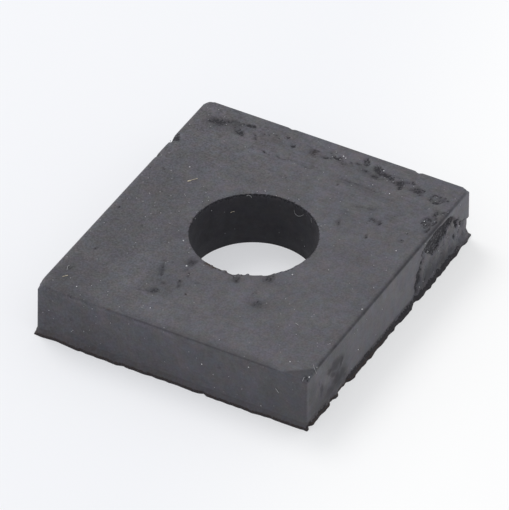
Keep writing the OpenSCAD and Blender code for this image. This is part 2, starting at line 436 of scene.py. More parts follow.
# Scuffed pits in the top: (x, y, length, width, turn, share of the full depth)
pit_deep = 0.13
back_pits = [
    (-14.3, 16.8, 2.6, 1.0, 12, .95), (-13.4, 17.3, 1.8, .5, 22, .9),
    (-15.2, 16.4, 1.2, .5, 5, .5), (-12.4, 17.8, 1.0, .35, 10, .6),
    (-13.9, 16.2, 1.2, .35, 0, .45), (-10.4, 17.9, 1.3, .55, 5, 1),
    (-11.6, 17.6, 1.4, .6, 5, .5), (-11.0, 16.1, 1.3, .9, -10, .9),
    (-10.4, 15.8, .6, .35, 0, .6), (-11.9, 16.9, 1.3, .8, 0, .35),
    (-9.3, 16.7, .5, .4, -20, .5), (-8.8, 16.1, .35, .8, 15, .6),
    (-8.3, 17.2, .22, .9, 5, .6), (-7.7, 17.4, .3, .3, 0, .8), (-7.0, 17.8, .5, .25, 35, .6),
    (-6.6, 17.5, .25, .25, 0, .5), (-5.6, 18.1, .35, .4, 0, .85),
    (-4.3, 17.0, .5, .75, 20, .95), (-3.5, 17.5, .4, .3, 0, .3),
    (-1.6, 17.2, .95, 1.1, 0, .7), (-2.0, 16.9, .5, .6, 0, .5), (-1.1, 17.6, .8, .3, -10, .6),
    (-1.3, 16.4, .8, .35, 0, .5), (-2.3, 17.8, .4, .3, 0, .4), (.1, 16.9, .9, .5, 15, .8),
    (1.2, 17.5, 1.2, .45, -20, 1), (1.7, 17.8, .5, .5, 0, .6), (.8, 17.1, .5, .35, 0, .5),
    (2.2, 17.3, .8, .6, 0, .4), (2.6, 16.9, .8, .5, 0, .4), (3.2, 17.4, .6, .35, 0, .35),
    (.3, 17.9, .25, .25, 0, .6), (4.8, 18.4, .75, 1.3, 25, .8), (4.1, 17.7, .7, .45, 0, .5),
    (6.5, 17.9, 1.0, 1.1, 15, 1), (7.0, 17.3, .9, .6, -20, 1), (7.9, 17.4, 1.3, .7, -12, 1),
    (8.6, 17.2, .8, .7, 0, .9), (6.9, 16.5, 1.0, .6, -10, .75), (7.8, 16.6, .5, .4, 0, .5),
    (5.4, 17.0, 1.1, .5, -10, .5), (9.2, 17.7, .7, .3, 0, .5), (9.9, 17.9, .8, .3, 20, .4),
    (10.0, 16.8, 1.1, 1.0, 0, 1), (10.3, 16.1, .5, .8, 8, .9), (10.7, 17.4, .8, .35, 25, .6),
    (11.4, 17.6, .6, .5, -30, .75), (9.2, 16.6, .6, .4, 0, .5), (12.5, 16.6, 1.2, .8, 5, 1),
    (11.8, 16.4, .6, .5, 0, .6), (13.1, 17.0, .3, .5, 0, .7), (13.1, 16.1, .5, .4, 0, .6),
    (12.2, 17.3, .6, .3, 0, .4), (14.5, 16.3, .35, 1.3, 0, .75), (15.1, 16.9, .9, .5, 0, .65),
    (15.9, 16.4, .5, .9, 0, .75), (15.3, 15.6, 1.0, .4, 10, .75), (16.4, 16.6, .5, .4, 0, .5),
    (14.9, 15.9, .5, .3, 0, .5), (15.5, 16.2, .3, .6, 0, .5)]
other_pits = [
    (-16.9, 11.5, .9, .9, 0, 1), (-17.2, 12.1, .4, .8, 0, .7), (-16.4, 11.2, .6, .3, 10, .6),
    (-6.6, 14.3, .6, .28, -20, .8), (-8.3, 14.25, 1.5, .2, 5, .35),
    (-5.9, 14.2, .3, .25, 0, .5), (-4.9, 14.3, .9, .25, -8, .5), (-4.1, 14.2, .7, .2, 5, .5),
    (-9.7, 14.2, .6, .2, 0, .3), (-3.0, 14.4, 1.2, .18, 0, .25), (-1, 14.2, 1.6, .18, 4, .3),
    (-2.6, 11.3, 1.4, .35, -5, .35), (16.3, 13.8, .6, 1.4, 5, .65),
    (16.9, 14.3, .4, .6, -35, .6), (16.6, 13.0, .5, .7, 0, .7), (14.8, 14.1, .5, .5, 0, .35),
    (16.0, 12.4, 1.0, 1.0, 0, .6), (16.3, 11.4, .9, 1.3, 0, .6), (16.7, 10.5, .5, 1.2, 0, .6),
    (15.7, 11.6, .4, .8, 0, .6), (16.9, 12.2, .4, 1.2, 0, .6), (5.0, 14.2, 2.6, .2, -2, .45),
    (7.6, 14.1, 2.2, .2, 2, .4), (4.3, 14.35, 1.6, .16, 0, .3), (8.9, 14.3, .9, .2, 0, .3),
    (3.8, 13.1, .25, .35, 0, .75), (7.9, 10.6, 1.0, .3, 0, .35), (9.5, 10.95, 1.0, .3, 5, .4),
    (12.4, 11.2, .7, .4, 0, .35), (10.4, 9.35, 1.0, .4, -15, .75),
    (11.4, 9.0, .35, 1.0, 8, .9), (10.8, 9.0, .6, .35, 20, .4), (10.1, 8.9, .3, .5, 0, .4),
    (6.9, 9.1, .7, .35, 0, .25), (9.9, 8.3, .8, .35, 0, .25), (7.3, 6.8, .3, .8, 10, .6),
    (11.2, 6.2, .28, .8, 0, .75), (15.1, 7.4, .6, .5, 0, .45), (15.0, 8.9, .25, .35, 0, .6),
    (17.1, -19.35, .45, .45, 0, .6), (-4.0, -8.0, .9, 1.1, -20, .62),
    (-3.7, -7.5, .6, .4, 0, .55), (-5.9, -8.9, .3, .35, 0, .5),
    (-6.8, -9.3, .22, .9, 25, .45), (-6.5, -10.1, .3, 1.0, 20, .5),
    (-6.2, -10.8, .5, 1.0, 15, .55), (-6.0, -11.4, .55, .6, 0, .6),
    (-5.0, -12.6, .7, .5, 0, .5), (-5.6, -12.3, .3, .5, 0, .4),
    (-6.5, -13.0, .35, .3, 0, .55), (-3.1, -10.2, .22, .7, 10, .5),
    (-3.3, -9.9, .2, .6, 10, .45), (-3.5, -11.6, .5, .5, 0, .6),
    (-3.2, -12.4, .45, .6, 0, .55), (-3.9, -9.4, .4, .7, 0, .4),
    (-1.6, -10.8, .8, .4, 0, .35), (-1.8, -13.3, .35, .45, 0, .4),
    (-5.3, -14.4, .8, .9, 0, .68), (-5.9, -14.7, .8, .35, 10, .5),
    (-6.8, -15.0, 1.2, .2, 14, .6), (-4.8, -14.2, .5, .35, 0, .45),
    (2.0, -8.1, .9, 1.2, 5, .58), (1.6, -8.0, .3, .8, 0, .5), (5.2, -6.2, 1.1, 1.2, 0, .5),
    (4.8, -6.8, .4, .5, 0, .5), (5.5, -5.6, .5, .6, 0, .5), (6.2, -10.8, 1.1, 1.3, 10, .5),
    (6.0, -11.2, .5, .5, 0, .4), (5.0, -9.0, .6, .9, 0, .3), (-14.9, -11.0, .3, .35, 0, .95),
    (-15.5, -15.6, .35, .3, 0, .8), (-16.2, -3.0, .4, .3, 0, .5),
    (-12.3, -5.0, .35, .5, 0, .4), (-15.4, 5.7, .4, .35, 0, .6), (-16.9, 5.1, .35, .3, 0, .5),
    (-12.0, -14.0, .4, .3, 0, .3)]
# The scuffed front right corner: what lies beyond a line over the top is worn and bends
# down. The line runs from a place on the front edge, and faces this way
scuff_from = np.array([14.4, -19.9])
scuff_facing = np.array([0.625, -0.781])
scuff_fall = 0.06
# Soft stains where the bloom is thin, and pale patches, below zero, where it is thick: (x, y,
# length, width, turn, strength). The widest make the top darker towards the left and paler towards
# the back and the right, and the long band just behind the hole and the one along the whole front
# edge are painted shade.
top_stains_and_light = [
    (-14.5, -6, 9, 38, 0, .22), (-11, -18.0, 16, 4.5, 0, .14),
    (-8.8, -4.5, 3.4, 4.5, -20, .24), (-14.0, -16.5, 7, 10, 0, .32),
    (-13.5, -19.4, 9, 2.4, 0, .40), (-12.5, -10.5, 5, 6, 0, .22),
    (-13.8, -7, 3.4, 30, 0, .12), (-14.5, 5.5, 2.0, 5.5, 0, .14), (0, -19.7, 38, 1.8, 0, .13),
    (-12.5, -18.6, 5, 2.4, 0, .12), (-7.6, -4.6, 2.2, 3.0, -30, .16),
    (-4.4, -6.8, 2.5, 1.8, 0, .10), (-4.5, -9.6, 3.4, 6.5, 20, .22),
    (-3.6, -11.6, 5.4, 4.0, 0, .16), (-8.4, -4.0, 3.6, 2.6, 0, .26),
    (-1.6, -9.6, 2.0, 2.4, 0, .08), (16.4, -3, 1.2, 30, 0, .08), (16.3, 12.2, 2.4, 6, 0, .24),
    (15.3, 16.3, 2.6, 2.0, 0, .2), (-12.9, 17.1, 6.8, 2.3, 8, .34),
    (-7.2, 16.9, 6, 1.8, 0, .20), (-1.5, 17.2, 5, 2.0, 0, .24), (8.5, 17.2, 8, 2.4, -6, .24),
    (2.6, 17.3, 3.4, 1.8, 0, .16), (-6, 16.8, 4, 1.5, 0, .08), (-1.8, 8.9, 9, 2.2, 0, .12),
    (9.8, 9.0, 4.5, 4.0, 0, .10), (-2.4, 11.2, 3.4, 1.6, 0, .08),
    (2.0, -8.4, 2.0, 2.4, 0, .12), (5.2, -6.4, 2.4, 2.4, 0, .26),
    (6.2, -10.8, 2.4, 2.8, 0, .26), (-4.1, -7.9, 1.5, 2.0, -20, .46),
    (-6.4, -10.4, 1.3, 3.0, 20, .44), (-4.8, -12.6, 1.9, 1.6, 0, .32),
    (-5.4, -14.5, 2.0, 1.5, 0, .34), (-3.3, -12.0, 1.2, 2.2, 10, .36),
    (-4.6, -10.0, 1.8, 1.2, 0, .24), (-2.9, -10.3, .8, 1.6, 0, .28),
    (2.0, -8.2, 1.8, 2.0, 0, .34), (-1.7, -10.9, 1.4, 1.2, 0, .20),
    (1.6, -10.9, 1.2, 1.6, 0, .16), (7.1, 8.9, 1.2, 1.2, 30, .28),
    (8.0, 10.6, 1.6, .9, 10, .26), (9.4, 11.0, 1.4, .8, 0, .28),
    (10.9, 9.2, 2.0, 1.4, -20, .36), (12.2, 10.5, 2.2, 1.0, 0, .24),
    (7.2, 6.9, .9, 1.4, 0, .30), (2.8, 16.9, 2.6, 1.4, 0, .30), (4.8, 17.4, 2.4, 1.6, 0, .30),
    (6.4, 16.8, 2.4, 1.4, 0, .30), (10.2, 16.8, 2.2, 2.0, 0, .34),
    (12.4, 16.7, 2.0, 1.2, 0, .30), (-15.5, -16.5, 4, 8, 0, .40), (-4.0, 14.3, 9, .5, 0, .26),
    (5.5, 14.2, 6.5, .5, 0, .26), (-5.0, -12.0, 5.0, 7.0, 15, .22),
    (5.4, 13.8, 4.2, .7, -2, .20), (8.6, 13.4, 3.4, .6, 0, .18),
    (-1.2, 16.9, 3.0, 1.6, 0, .24), (-8.3, -9.8, 3.2, 2.6, 0, -.20),
    (-9.5, -12.3, 3.6, 3.6, 0, -.12), (-2.5, -16.6, 7, 3.0, 10, -.16),
    (-8.0, 12.6, 15, 4.0, 0, -.12), (-16.9, 9.2, .9, 3.0, 0, -.30),
    (-16.9, 14, .9, 4.0, 0, -.2), (-17.2, -4, .7, 28, 0, -.20),
    (11.8, 4.5, 6.6, 8.0, 0, -.16), (15, 9, 5, 14, 0, -.14), (0, 18.5, 36, 4, 0, -.12),
    (-1.8, 15.2, 4.4, .9, 0, -.22), (13.6, -12.6, 3.4, 5.0, 0, -.07),
    (16.8, 18.2, 1.4, 2.6, 0, -.12), (-16.4, 18.6, 2.6, 2.0, 0, -.14)]
# Brown stains in the top: (x, y, length, width, turn, strength)
brown_spots = [
    (-13.9, 1.3, .9, 1.6, 0, .35), (-1.6, 17.1, .9, .9, 0, .3), (-2.0, 15.3, 3.6, .7, 0, .25),
    (1.9, -8.2, .9, 1.0, 0, .08), (5.2, -6.0, .6, .8, 0, .1), (11.5, 7.2, 1.6, 1.2, 0, .2),
    (-12.6, -5.9, .7, .6, 0, .3), (-1.9, -13.2, .6, .7, 0, .2), (-8.0, -19.8, .8, .3, 0, .6),
    (16.2, -15.8, .8, .8, 0, .3), (4.3, 9.8, 1.0, .9, 0, .25), (-5.0, 9.6, .9, 1.6, 20, .2)]


def top_drop(x, y):
    """How far the top lies below the flat, at each point: the deepest of the ball-shaped
    nicks, with the slope of the scuffed corner and the pits added. Also returns how
    fresh the rubber is there."""
    loose = 0.15 * rough(x, y, 1.1, 51)
    nick = np.zeros(np.shape(x))
    for nick_x, nick_y, radius, depth in edge_nicks:
        off = np.hypot(x - nick_x, y - nick_y) / radius + loose
        nick = np.maximum(nick, depth * smooth(1.25 - off))
    pit = mark_depth(x, y, back_pits + other_pits, soft=1.2)
    beyond = (np.stack([x, y], axis=-1) - scuff_from) @ scuff_facing
    bent = scuff_fall * np.clip(beyond, 0, 2)
    drop = nick + bent + pit_deep * pit * (1 + 0.5 * rough(x, y, 0.3, 61))
    return drop, np.maximum(np.clip(pit, 0, 1), smooth(nick / 0.2))


def top_stain_and_light(x, y):
    """How thin the bloom is worn on the top, with painted shade, and how brown it is, at each
    point: the stains and painted shade bands, and the scuffed corner beyond its line, darkest
    along the line."""
    beyond = (np.stack([x, y], axis=-1) - scuff_from) @ scuff_facing
    beyond = beyond + 0.10 * rough(x, y, 0.9, 57)
    worn_and_painted_light = 0.50 * smooth(0.5 + beyond / 0.36) + 0.12 * hump(beyond, 0.2, 0.3)
    worn_and_painted_light = np.maximum(worn_and_painted_light, mark_depth(x, y, top_stains_and_light, soft=1.6))
    return worn_and_painted_light, mark_depth(x, y, brown_spots, soft=1.2)


# The torn patch at the back of the right wall, by place along the wall (y): its upper
# edge, the lower edge of the deep scoop under that, and the depth of the rest
tear_upper = np.array([
    (6.0, .0), (6.3, .9), (6.6, 2.6), (7.0, 3.9), (7.7, 4.5), (8.2, 4.9), (8.5, 6.0),
    (9.2, 6.45), (10.2, 6.5), (11.3, 6.75), (12.4, 6.7), (13.2, 6.5), (14.0, 6.6),
    (15.2, 6.4), (15.8, 5.9), (16.1, 5.5), (16.7, 4.8), (17.3, 4.3), (18.0, 3.8), (18.8, 3.5),
    (19.3, 3.15), (20.1, 2.9)])
scoop_lower = np.array([
    (8.4, 6.0), (9.0, 5.4), (9.8, 4.6), (10.5, 4.0), (11.0, 3.5), (11.8, 3.4), (12.5, 3.7),
    (13.1, 3.9), (14.0, 4.1), (14.5, 4.3), (14.8, 4.7), (15.6, 4.75), (16.1, 5.2), (16.5, 5.9)])
layer_depth = np.array([
    (6.0, .10), (7.0, .26), (9.0, .22), (12.0, .26), (15.0, .30), (17.0, .36), (18.5, .40),
    (19.0, .28), (20.1, .30)])
scoop_deep = 0.55
gouge_deep = 0.20
# Gouges in the right wall, and smudges on it and on the front wall: (place along the
# wall, z, length, height, turn, strength)
right_marks = [
    (8.4, 5.7, 1.1, 1.0, 0, .6), (8.1, 4.5, 1.6, 1.2, 30, .62), (7.6, 3.4, 1.6, 1.1, 30, .6),
    (7.0, 3.4, .8, 1.0, -10, .55), (7.2, 2.4, 1.8, 1.4, 20, .7), (6.5, 2.1, .8, 1.1, 10, .6),
    (6.7, 1.3, .9, .9, 20, .75), (6.1, .9, .7, .7, 0, .6), (16.8, 4.6, .7, .8, -30, .7),
    (17.2, 3.8, .6, 1.3, 12, .95), (16.5, 2.4, .5, .8, 0, .65), (18.2, 3.0, .5, .9, 15, .85),
    (18.7, 3.4, 1.0, .35, -20, .55), (13.2, 2.9, .4, .6, 0, .45), (15.3, 3.6, .5, .4, 0, .35),
    (8.9, 1.5, .5, .5, 0, .3), (17.8, 2.2, .5, .7, 0, .4)]
right_smudges = [
    (-12.9, 4.6, 3.2, 1.2, -8, .50), (-11.8, 4.1, .9, 1.3, 0, .74),
    (-14.2, 4.6, 1.0, 1.0, 0, .58), (-13.6, 3.6, 1.5, 1.0, 0, .54),
    (-12.2, 2.2, 3.4, 2.0, 0, .62), (-16.4, 3.2, .8, 1.8, 0, .60),
    (-14.4, 1.6, 3.0, 1.6, 0, .48), (-18.6, 4.1, 2.0, 4.2, 0, .26),
    (-17.2, 2.0, 5.0, 3.0, 0, .30), (-12.6, 3.3, 1.4, .8, 0, .40),
    (-17.0, 4.6, .5, 1.0, 0, .36), (-10.9, 1.6, 1.2, 1.0, 0, .50),
    (-15.2, 3.9, .8, 1.8, 15, -.14), (-16.7, 6.3, 2.2, 1.4, 0, -.12),
    (7.4, 2.6, 2.4, 4.6, 0, .56), (10.0, 1.3, 5.4, 2.6, 0, .78),
    (12.4, 1.0, 5.4, 2.2, -2, .80), (15.2, .8, 4.6, 1.7, -4, .74),
    (17.4, .6, 3.4, .9, 0, .48), (11.0, 2.5, 1.8, 1.8, -30, .52), (0, .95, 40, .5, 0, .25)]
front_smudges = [
    (-13.0, 3.8, .35, .35, 0, .6), (-6.6, 4.9, .3, .3, 0, .45), (6.3, 4.6, .3, .3, 0, .6),
    (0, 3.3, 40, 7.5, 0, .12), (-9, 1.8, 4, 2.2, 0, .18), (-13.5, 3.4, 13, 8, 0, .21),
    (14.8, 3.6, 7, 8, 0, .24), (0, .55, 36, .8, 0, .22), (-17.0, 5, 1.0, 6, 0, -.14),
    (-8.5, 5.0, 4, 1.6, 0, -.04), (11.5, 1.6, 4, 2.4, 0, .16)]
# The right wall's tone along it (y), pale below zero. Over its back two thirds it is paler with
# painted sheen, where the wall would reflect the bright floor; near its front end it is darker.
right_tone_and_sheen = np.array([
    (-20, -.04), (-17, .0), (-13, .12), (-10.5, -.03), (-8, -.26), (16, -.28), (20, -.36)])


def by_right_wall(place):
    """1 on the right wall, falling with smoothstep to 0 at 2.2 inside its foot."""
    return smooth((place[..., 0] - block_w / 2 + 2.2) / 1.6)


def tear(y, z):
    """Depth of rubber lost from the right wall at each point, and how fresh it is
    there. Inside the wandering upper edge lies a layer that slopes out to the foot,
    and the scoop is cut deeper, with a floor that is rough at every size."""
    y_edge = y + 0.10 * rough(y, z, 0.6, 71)
    z_edge = z + 0.16 * rough(y, z, 0.7, 72)
    inside = smooth((np.interp(y_edge, *tear_upper.T) - z_edge) / 0.22 + 0.5)
    inside = inside * smooth((y - 5.9) / 0.5)
    streaks = rough(y - z * 0.3, z * 0.8, 1.0, 73)
    slope_out = 0.30 + 0.70 * smooth((z - 0.75) / np.where(y > 17.5, 0.5, 2.4))
    layer = np.interp(y, *layer_depth.T) * slope_out + 0.10 * streaks
    scoop = smooth((z_edge - np.interp(y_edge, *scoop_lower.T)) / 0.3 + 0.5)
    scoop = scoop * smooth((16.5 - y_edge) / 0.3) * inside
    rubble = rough(y, z, 0.55, 74)
    gouge = mark_depth(y, z, right_marks)
    lost = inside * layer + scoop * (scoop_deep + 0.12 * rubble - layer)
    lost = lost + gouge_deep * gouge * smooth((y - 5.0) / 0.6)
    fresh = inside * (0.10 + 0.25 * streaks) + scoop * (0.66 + 0.30 * rubble)
    fresh = np.maximum(fresh, gouge)
    return np.maximum(lost, 0), np.clip(fresh, 0, 1)


# The rim of the hole: how far crumbs of rubber hang into it at each column, seeded
# behind, and at the front by place: (turn in degrees, reach into the hole)
about = foot - hole_place
turn = np.arctan2(about[:, 1], about[:, 0])
radial = np.stack([np.cos(turn), np.sin(turn)], axis=1)
degrees = np.degrees(turn)
rim_way = turn * hole_r
front_crumbs = np.array([
    (-118, 0), (-115, -.04), (-108.2, -.02), (-107.8, .08), (-106, .02), (-104, .08),
    (-102.6, .05), (-101, .19), (-99.5, .02), (-97, .01), (-95.3, .05), (-92.7, .05),
    (-90.3, -.04), (-88.5, .15), (-86.6, .23), (-84.7, -.14), (-82.2, -.32), (-79.6, -.45),
    (-77.8, -.31), (-76.7, -.20), (-75.8, 0), (-75, .22), (-74, -.04), (-72.2, .14),
    (-71.2, 0), (-69.6, .04), (-68.6, .16), (-67.7, .42), (-65.9, .45), (-65.1, .1),
    (-62.5, .04), (-54.6, .04), (-53.1, -.14), (-49.6, -.18), (-46.4, -.08), (-43.3, .12),
    (-42, .02), (-39, .09), (-36, .18), (-34.6, .03), (-28.6, .05), (-24.7, .08), (-21, .17),
    (-18, .10), (-9, .12), (-4, 0)])
crumbs = 0.04 * rough(rim_way, rim_way * 0, 0.45, 81)
crumbs = crumbs + 0.07 * smooth(3.5 * wander_along(rim_way, 0.55, 84) - 1.7)
crumbs = np.where((degrees > -118) & (degrees < -4),
                  np.interp(degrees, *front_crumbs.T), crumbs)
crumb_brown = 1.5 * hump(degrees, -103, 8) + 0.6 * hump(degrees, -88, 24)

grid_rows = []


def add_rows(place, height, fresh, wear_and_painted_light=0.0, brown=0.0):
    """Adds rows of points, each at its place over the plan and its height. Fresh is how much raw
    black rubber shows there; wear_and_painted_light is how far the bloom is worn, or how thick it
    lies where below zero, and it also carries painted shade and painted light; and brown is how
    far it is stained."""
    layers = np.broadcast_arrays(place[..., 0], place[..., 1], height, fresh, wear_and_painted_light, brown)
    grid_rows.append(np.stack(layers, axis=-1))


# Up the bore, with the crumbs hanging from its top, and over the rim. The bore is darker
# throughout, and painted light makes it paler at two places round it, where more light falls on
# its wall.
t = np.linspace(0, 1, bore_rows, endpoint=False)[:, None] ** 0.6
near_top = smooth((t - 0.75) / 0.25)
bore_radius = hole_r - crumbs * near_top + 0.02 * wander_along(rim_way, 2, 86)
bore_painted_light = 0.22 * hump(degrees, 8, 45) + 0.07 * hump(degrees, -150, 40)
add_rows(hole_place + bore_radius[..., None] * radial, t * (block_h - hole_rim_r),
         0.7 * near_top * (crumbs > 0.06), 0.76 - bore_painted_light * (1 - near_top),
         crumb_brown * near_top)
t = np.linspace(0, 1, rim_rows, endpoint=False)[:, None]
rim_radius = hole_r - crumbs * 0.7 + hole_rim_r * (1 - np.cos(np.pi / 2 * t))
add_rows(hole_place + rim_radius[..., None] * radial,
         block_h - hole_rim_r * (1 - np.sin(np.pi / 2 * t)),
         0.80 - 0.35 * t, 0.5, crumb_brown)

# Across the top, from the rim out to the rounded edge, in rows that crowd outwards
outer_crowding = 1.15
rim_out = hole_place + (hole_r - crumbs * 0.5 + hole_rim_r)[:, None] * radial
wall_top = upright_r - wall_lean
edge_end, edge_facing = round_corners(base + wall_top * outward, np.full(columns, block_h))
edge_start = edge_end - edge_r[:, None] * edge_facing
t = np.linspace(0, 1, top_rows, endpoint=False)[:, None]
t = 1 - (1 - t) ** outer_crowding
place = rim_out + t[..., None] * (edge_start - rim_out)
drop, fresh = top_drop(place[..., 0], place[..., 1])
stains_and_painted_light, browns = top_stain_and_light(place[..., 0], place[..., 1])
near_rim = smooth(1 - t * 22)
fresh_rim = (0.22 + 0.35 * crumb_brown) * near_rim
# The bloom is worn off along the top's front edge, by place (x), and right edge (y),
# over a width that is wider along the front
front_rub = np.array([
    (-17, .05), (-15, .08), (-13, .12), (-7, .20), (-5, .30), (-1, .38), (9, .38),
    (12, .34), (13.8, .16), (14.8, .0)])
right_rub = np.array([
    (-17.4, .0), (-16.8, .42), (-12, .50), (-6, .42), (-1, .44), (3, .52), (10, .48),
    (15, .38), (17, .22), (18.3, .05)])
rub = np.where(wall_mix == 0, np.interp(base_x, *front_rub.T),
               np.where(wall_mix == 1, np.interp(base_y, *right_rub.T), 0.0))
rub = rub * (1 + 0.35 * wander(base_x, base_y, 0.7, 58))
rub_wide = np.where(wall_mix == 0, 0.75, 0.32)
to_edge = ((edge_start - place) * edge_facing).sum(axis=-1)
add_rows(place, block_h - drop, np.maximum(0.92 * fresh, fresh_rim),
         stains_and_painted_light + 0.26 * smooth(fresh / 0.5) + 0.62 * rub * np.clip(1 - to_edge / rub_wide, 0, 1),
         np.maximum(browns, crumb_brown * near_rim))

# Over the rounded top edge, where the rubbing is at its darkest half way round
t = np.radians(90 * np.linspace(1, 0, edge_rows, endpoint=False))[:, None]
rubbed_most = smooth((np.degrees(t) - 5) / 35) * (1 - 0.46 * smooth((np.degrees(t) - 50) / 40))
place = edge_end - (edge_r * (1 - np.cos(t)))[..., None] * edge_facing
drop, fresh = top_drop(place[..., 0], place[..., 1])
stains_and_painted_light, browns = top_stain_and_light(place[..., 0], place[..., 1])
add_rows(place, block_h - drop - edge_r * (1 - np.sin(t)), fresh,
         stains_and_painted_light * smooth(np.degrees(t) / 110) + 1.15 * rub * rubbed_most,
         browns * smooth(np.degrees(t) / 30))

# Down the walls, less what was torn from the right one. They are darker and browner low down, and
# a row of pale dashes runs along the front one, close under its top
wall_start = block_h - top_drop(*edge_end.T)[0] - edge_r
t = np.linspace(0, 1, wall_rows, endpoint=False)[:, None]
height = wall_start + t * (lip_rise - wall_start)
place = base + (upright_r - wall_lean * height / block_h)[..., None] * outward
place = round_corners(place, height)[0]
lost, torn = tear(place[..., 1], height)
on_torn = by_right_wall(place)
place[..., 0] -= lost * on_torn
right_smudges_and_sheen = mark_depth(place[..., 1], height, right_smudges, soft=1.3)
# Painted sheen: the right wall's tone along its length, paler over most of it
right_smudges_and_sheen = right_smudges_and_sheen + np.interp(base_y, *right_tone_and_sheen.T)
right_smudges_and_sheen = right_smudges_and_sheen + 0.55 * smooth((torn - 0.35) / 0.3)
front_smudged = mark_depth(place[..., 0], height, front_smudges, soft=1.2)
dashes = smooth(2.4 * wander_along(base_x, 0.8, 89) + 0.2) * smooth((5 - base_x) / 5)
dashes = dashes * smooth((base_x + 16) / 2) * hump(height, 6.75, 0.25)
low = smooth((1.15 - height) / 0.8) * (0.6 + 0.5 * rough(base_x + base_y, height, 1.4, 91))
add_rows(place, height, torn * on_torn,
         on_right * right_smudges_and_sheen + on_front * (front_smudged - 0.35 * dashes) + 0.15 * low,
         0.20 * low)

# Down the lip's upper side to where the knife cut it. The right wall's lip is black up
# to a wandering height, by place (y). The cut's height is a share of the lip's there, by
# wall_mix, and least at the two front corners
black_rises = np.array([
    (-18, .9), (-16, .85), (-15, .6), (-11, .6), (-10, 1.1), (-6, 1.1), (-4, .92), (20, .92)])
cut_shares = np.array([
    (0, 1), (.7, 1), (.9, .5), (.98, .4), (1.06, 1), (3, 1), (3.1, .6), (3.5, .1),
    (3.95, .6), (4, 1)])
deepest_bite = 0.14
end = np.maximum(trimmed, root - deepest_bite)
share = np.clip((upright_r + flash_reach - end) / (upright_r + flash_reach - root), 0, 1)
cut_top = np.minimum(flash_t + (lip_rise - flash_t) * share, cut_most)
cut_top = cut_top * np.interp(wall_mix, *cut_shares.T)
t = np.linspace(0, 1, lip_rows, endpoint=False)[:, None]
height = lip_rise + (cut_top - lip_rise) * t ** lip_hollow
place = base + (root + t * (end - root))[..., None] * outward
lost, torn = tear(place[..., 1], height)
place[..., 0] -= lost * by_right_wall(place) * smooth((height - 0.3) / 0.7)
black_rise = np.interp(base_y, *black_rises.T) + 0.22 * rough(base_y, height, 0.6, 87)
black = on_right * smooth((black_rise - height) / 0.34) * (1 - 0.85 * torn_foot)
thin_bloom = 0.27 + 0.14 * rough(base_x + base_y, height, 0.9, 92)
lip_brown = 1 - 0.75 * on_right * smooth((base_y + 6) / 10)
add_rows(place, height, np.maximum(0.5 * torn * on_right, black),
         thin_bloom * (1 - 0.6 * torn_foot),
         lip_brown * (0.20 + 0.8 * smooth((0.50 - height) / 0.14)))

# Down the cut, which the knife's chatter left uneven, and in underneath
t = np.linspace(0, 1, cut_rows, endpoint=False)[:, None]
chatter = 0.12 * wander(base_x + base_y, t * 3, 0.3, 88)
place = base + (end + t * (1 - t) * chatter)[..., None] * outward
add_rows(place, cut_top * (1 - t), 1 - 0.9 * torn_tip, 0.6, 0.5 * lip_brown)
t = np.linspace(0, 1, under_rows, endpoint=False)[:, None]
place = base + end[:, None] * outward
add_rows(place + t[..., None] * (hole_place + hole_r * radial - place), 0.0, 0.0, 0.2)


def closed_grid(name, x, y, z, masks):
    """Mesh of a grid of points that is closed both ways: every point is joined to the
    next in its row and in its column, and the last to the first. Each mask becomes a
    point attribute."""
    rows, cols = x.shape
    mesh = bpy.data.meshes.new(name)
    index = np.arange(rows * cols).reshape(rows, cols)
    below, beside = np.roll(index, -1, axis=0), np.roll(index, -1, axis=1)
    quads = np.stack([index, below, np.roll(below, -1, axis=1), beside], axis=-1)
    mesh.vertices.add(rows * cols)
    mesh.vertices.foreach_set("co", np.stack([x, y, z], axis=-1).ravel().astype(np.float32))
    mesh.loops.add(quads.size)
    mesh.loops.foreach_set("vertex_index", quads.ravel().astype(np.int32))
    mesh.polygons.add(quads.size // 4)
    mesh.polygons.foreach_set("loop_start", np.arange(0, quads.size, 4, dtype=np.int32))
    mesh.polygons.foreach_set("use_smooth", np.ones(quads.size // 4, bool))
    mesh.update(calc_edges=True)
    for mask_name, mask in masks.items():
        layer = mesh.attributes.new(mask_name, "FLOAT", "POINT")
        layer.data.foreach_set("value", mask.ravel().astype(np.float32))
    return mesh


grid_x, grid_y, grid_z, fresh, wear_and_painted_light, browns = np.moveaxis(np.concatenate(grid_rows), -1, 0)
pad = new_piece(closed_grid(
    "rubber_pad", (grid_x - hole_place[0]) * mm, (grid_y - hole_place[1]) * mm, grid_z * mm,
    {"fresh": fresh, "wear_and_painted_light": wear_and_painted_light, "brown": browns}))
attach(pad, "root")
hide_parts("pad")


# The rubber's finish: patches of bloom, a fine grain, dust in it, and black where fresh
bloom_green = (0.0610, 0.0692, 0.0765, 1)
bloom_pink = (0.0740, 0.0600, 0.0765, 1)
bloom_blue = (0.0645, 0.0645, 0.0890, 1)
bloom_tan = (0.0705, 0.0645, 0.0640, 1)
fresh_rubber = (0.0165, 0.0155, 0.0205, 1)
brown_stain = (0.0400, 0.0230, 0.0150, 1)
dust_grey = (0.24, 0.24, 0.25, 1)
bloom_roughness, fresh_roughness = 0.52, 0.85
# Places in metres between which the finish changes: in height from the walls to the
# top, along x from the left to the rest, and along y from the rest to the back
top_from, top_to = 0.0066, 0.0071
left_from, left_to = -0.015, 0.002
back_from, back_to = 0.006, 0.010


